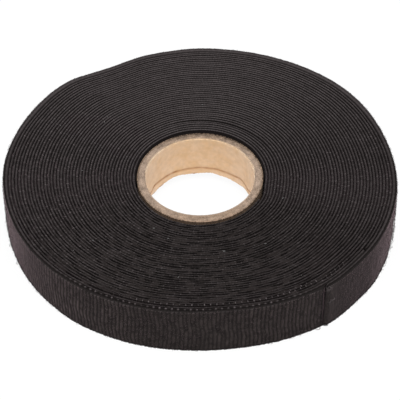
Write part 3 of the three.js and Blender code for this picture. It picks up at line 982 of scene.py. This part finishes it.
def liner_shape(angle, degrees, radius, height):
    """Radii, heights and light of the liner, with its knife line, burrs and sawn edge"""
    from_top = core_high.z - height
    from_bottom = height - core_low.z
    in_front = bump(degrees, 1, FRONT, 100)
    inside = radius < bore_radius + 0.1 * MM
    sawn = unit(1 - from_top / (SAWN_DEPTH + 0.25 * MM * mottle(angle, 170, 32)))
    score = core_low.z + SCORE_HEIGHT + bumps(degrees, SCORE_WAVES) + SCORE_ROUGHNESS * mottle(angle, 40, 33)
    cut = np.exp(-((height - score) / SCORE_HALF_WIDTH) ** 2) * unit(0.85 + 0.25 * mottle(angle, 70, 34))
    knife = 0.5 + 0.25 * bump(degrees, 1, 138, 50) + 0.1 * bump(degrees, 1, 38, 20)
    burr = bumps(degrees, BURRS) * unit(1 - from_bottom / BURR_HEIGHT)
    depth = from_top / (core_high.z - core_low.z)
    streaks = mottle(angle + height / (14 * MM), 16, 41, (from_bottom + 5 * MM) / (7 * MM))
    # Painted light and shade: the liner is lighter towards the core's sides and darker deeper down the bore
    light = 0.93 + 0.07 * np.abs(np.cos(angle)) ** 3 - 0.06 * depth + 0.025 * streaks
    light = light - 0.6 * sawn - knife * cut * inside - 0.7 * burr
    light = light + (from_top < EDGE_BAND) * (0.5 - 0.25 * in_front)
    radius = radius + inside * (SCORE_DEPTH * cut + sawn ** 2 * (0.3 * MM - 0.55 * MM * in_front))
    height = lower_rim(angle, height) - 0.1 * MM * sawn * (1 + mottle(angle, 300, 35)) / 2
    return radius, height, light


core_liner = ring("core_liner_paper", tube_section(bore_radius, board_in - GLUE_GAP),
                  liner_shape)
# Kraft paper is smooth and warm, and goes brown where it is cut
kraft_paper = paper("kraft_paper", "#8a4f04", "#dfbf98", "#e8d0b6", KRAFT_GRAIN, 0.06)
# Grey board is recycled pulp, with coarse specks where it is sawn
grey_board = paper("grey_board", "#3a2f26", "#a9907a", "#ad9785", BOARD_GRAIN, 0.2)
core_liner.data.materials.append(kraft_paper)
core_liner.data.materials.append(grey_board)
# The tan of the sawn edge is seen from this far behind the core's middle
BACK_FROM = 0.1 * CORE_RADIUS
for face in core_liner.data.polygons:
    on_edge = face.center.z > core_high.z - EDGE_BAND
    face.material_index = int(on_edge and face.center.y < core_middle.y + BACK_FROM)


# The core's board
# Five plies of grey-brown board, wound and glued, which make the wall. On the sawn rim the plies show as
# faint rings with torn fibres between them, lower towards the outside at the back. Painted shade darkens the
# rim towards the outside at the back and at the sides, and towards the bore in front.
PLY_THICKNESS = 0.44 * MM
FIBRE_SIZE = 0.16 * MM
FIBRE_HEIGHT = 0.06 * MM
RIM_BAND = 0.05 * MM


def board_shape(angle, degrees, radius, height):
    """Radii, heights and light of the board, with its plies and torn fibres"""
    on_rim = (height > core_high.z - RIM_BAND) | (height < core_low.z + RIM_BAND)
    from_bore = radius - bore_radius
    ply_place = (from_bore - LINER_THICKNESS) / PLY_THICKNESS + 0.25 * mottle(angle, 60, 36)
    seam = (np.abs(ply_place % 1 - 0.5) * 2) ** 4
    fibres = mottle(angle, 620, 37, from_bore / FIBRE_SIZE)
    patches = mottle(angle, 90, 38, from_bore / (0.9 * MM))
    outward = (from_bore - LINER_THICKNESS) / BOARD_THICKNESS
    at_back = bump(degrees, 1, 88, 75)
    in_front = bump(degrees, 1, 275, 95)
    # Painted shade: darker towards the outside at the back and at the sides, and towards the bore in front
    light = 0.64 + 0.25 * fibres + 0.18 * patches - 0.25 * seam - at_back * (0.52 * outward - 0.04)
    light = light - 0.2 * np.cos(angle) ** 2 * unit(outward) ** 3 - 0.12 * in_front * unit(1 - 2 * outward)
    height = height + on_rim * FIBRE_HEIGHT * (fibres - 1 - seam - at_back * outward)
    return radius, np.where(height < core_low.z + RIM_WAVE_FADE, lower_rim(angle, height), height), light


core_board = ring("core_board_paper", tube_section(board_in, wrap_in - GLUE_GAP, 0.09 * MM),
                  board_shape)
core_board.data.materials.append(grey_board)


# The core's wrap
# The outer ply of dull pinkish tan paper, which holds the board's plies together. Its sawn edge is nicked and
# darker in the nicks, and painted darker at the back and sides as shade. Just below the rim, where it goes
# down into the tape, it is painted dark as shade.
WRAP_BAND = 0.3 * MM
NICK_DEPTH = 0.12 * MM
SHADE_DEPTH = 1.5 * MM
# Size of the clumps of fibre in the wrap
WRAP_GRAIN = 0.6667 * MM


def wrap_shape(angle, degrees, radius, height):
    """Radii, heights and light of the wrap, with its nicks"""
    from_top = core_high.z - height
    near_top = unit(1 - from_top / WRAP_BAND)
    fibres = mottle(angle, 500, 39, height / (1.2 * MM))
    nicks = unit(2.2 * mottle(angle, 330, 40) - 1.2)
    at_back = bump(degrees, 1, 88, 75)
    # Darker in the nicks, and painted shade at the back and at the sides
    nicks_and_painted_shade = 0.35 * nicks + 0.45 * at_back + 0.2 * np.cos(angle) ** 2 - 0.12 * fibres
    light = 0.5 + 0.15 * fibres - near_top * nicks_and_painted_shade
    # Painted shade: a dark band just below the rim, where the wrap goes down into the tape
    light = light - 0.45 * unit(from_top / (0.1 * MM)) * unit(1.08 - from_top / SHADE_DEPTH)
    height = lower_rim(angle, height) - near_top * (NICK_DEPTH * nicks + 0.04 * MM)
    return radius - near_top * nicks * NICK_DEPTH, height, light


core_wrap = ring("core_wrap_paper", tube_section(wrap_in, CORE_RADIUS), wrap_shape)
# Tan wrap is a thin dull paper with a fine even grain
core_wrap.data.materials.append(paper("tan_wrap", "#33261c", "#ac8f7a", "#a38b75", WRAP_GRAIN, 0.25))
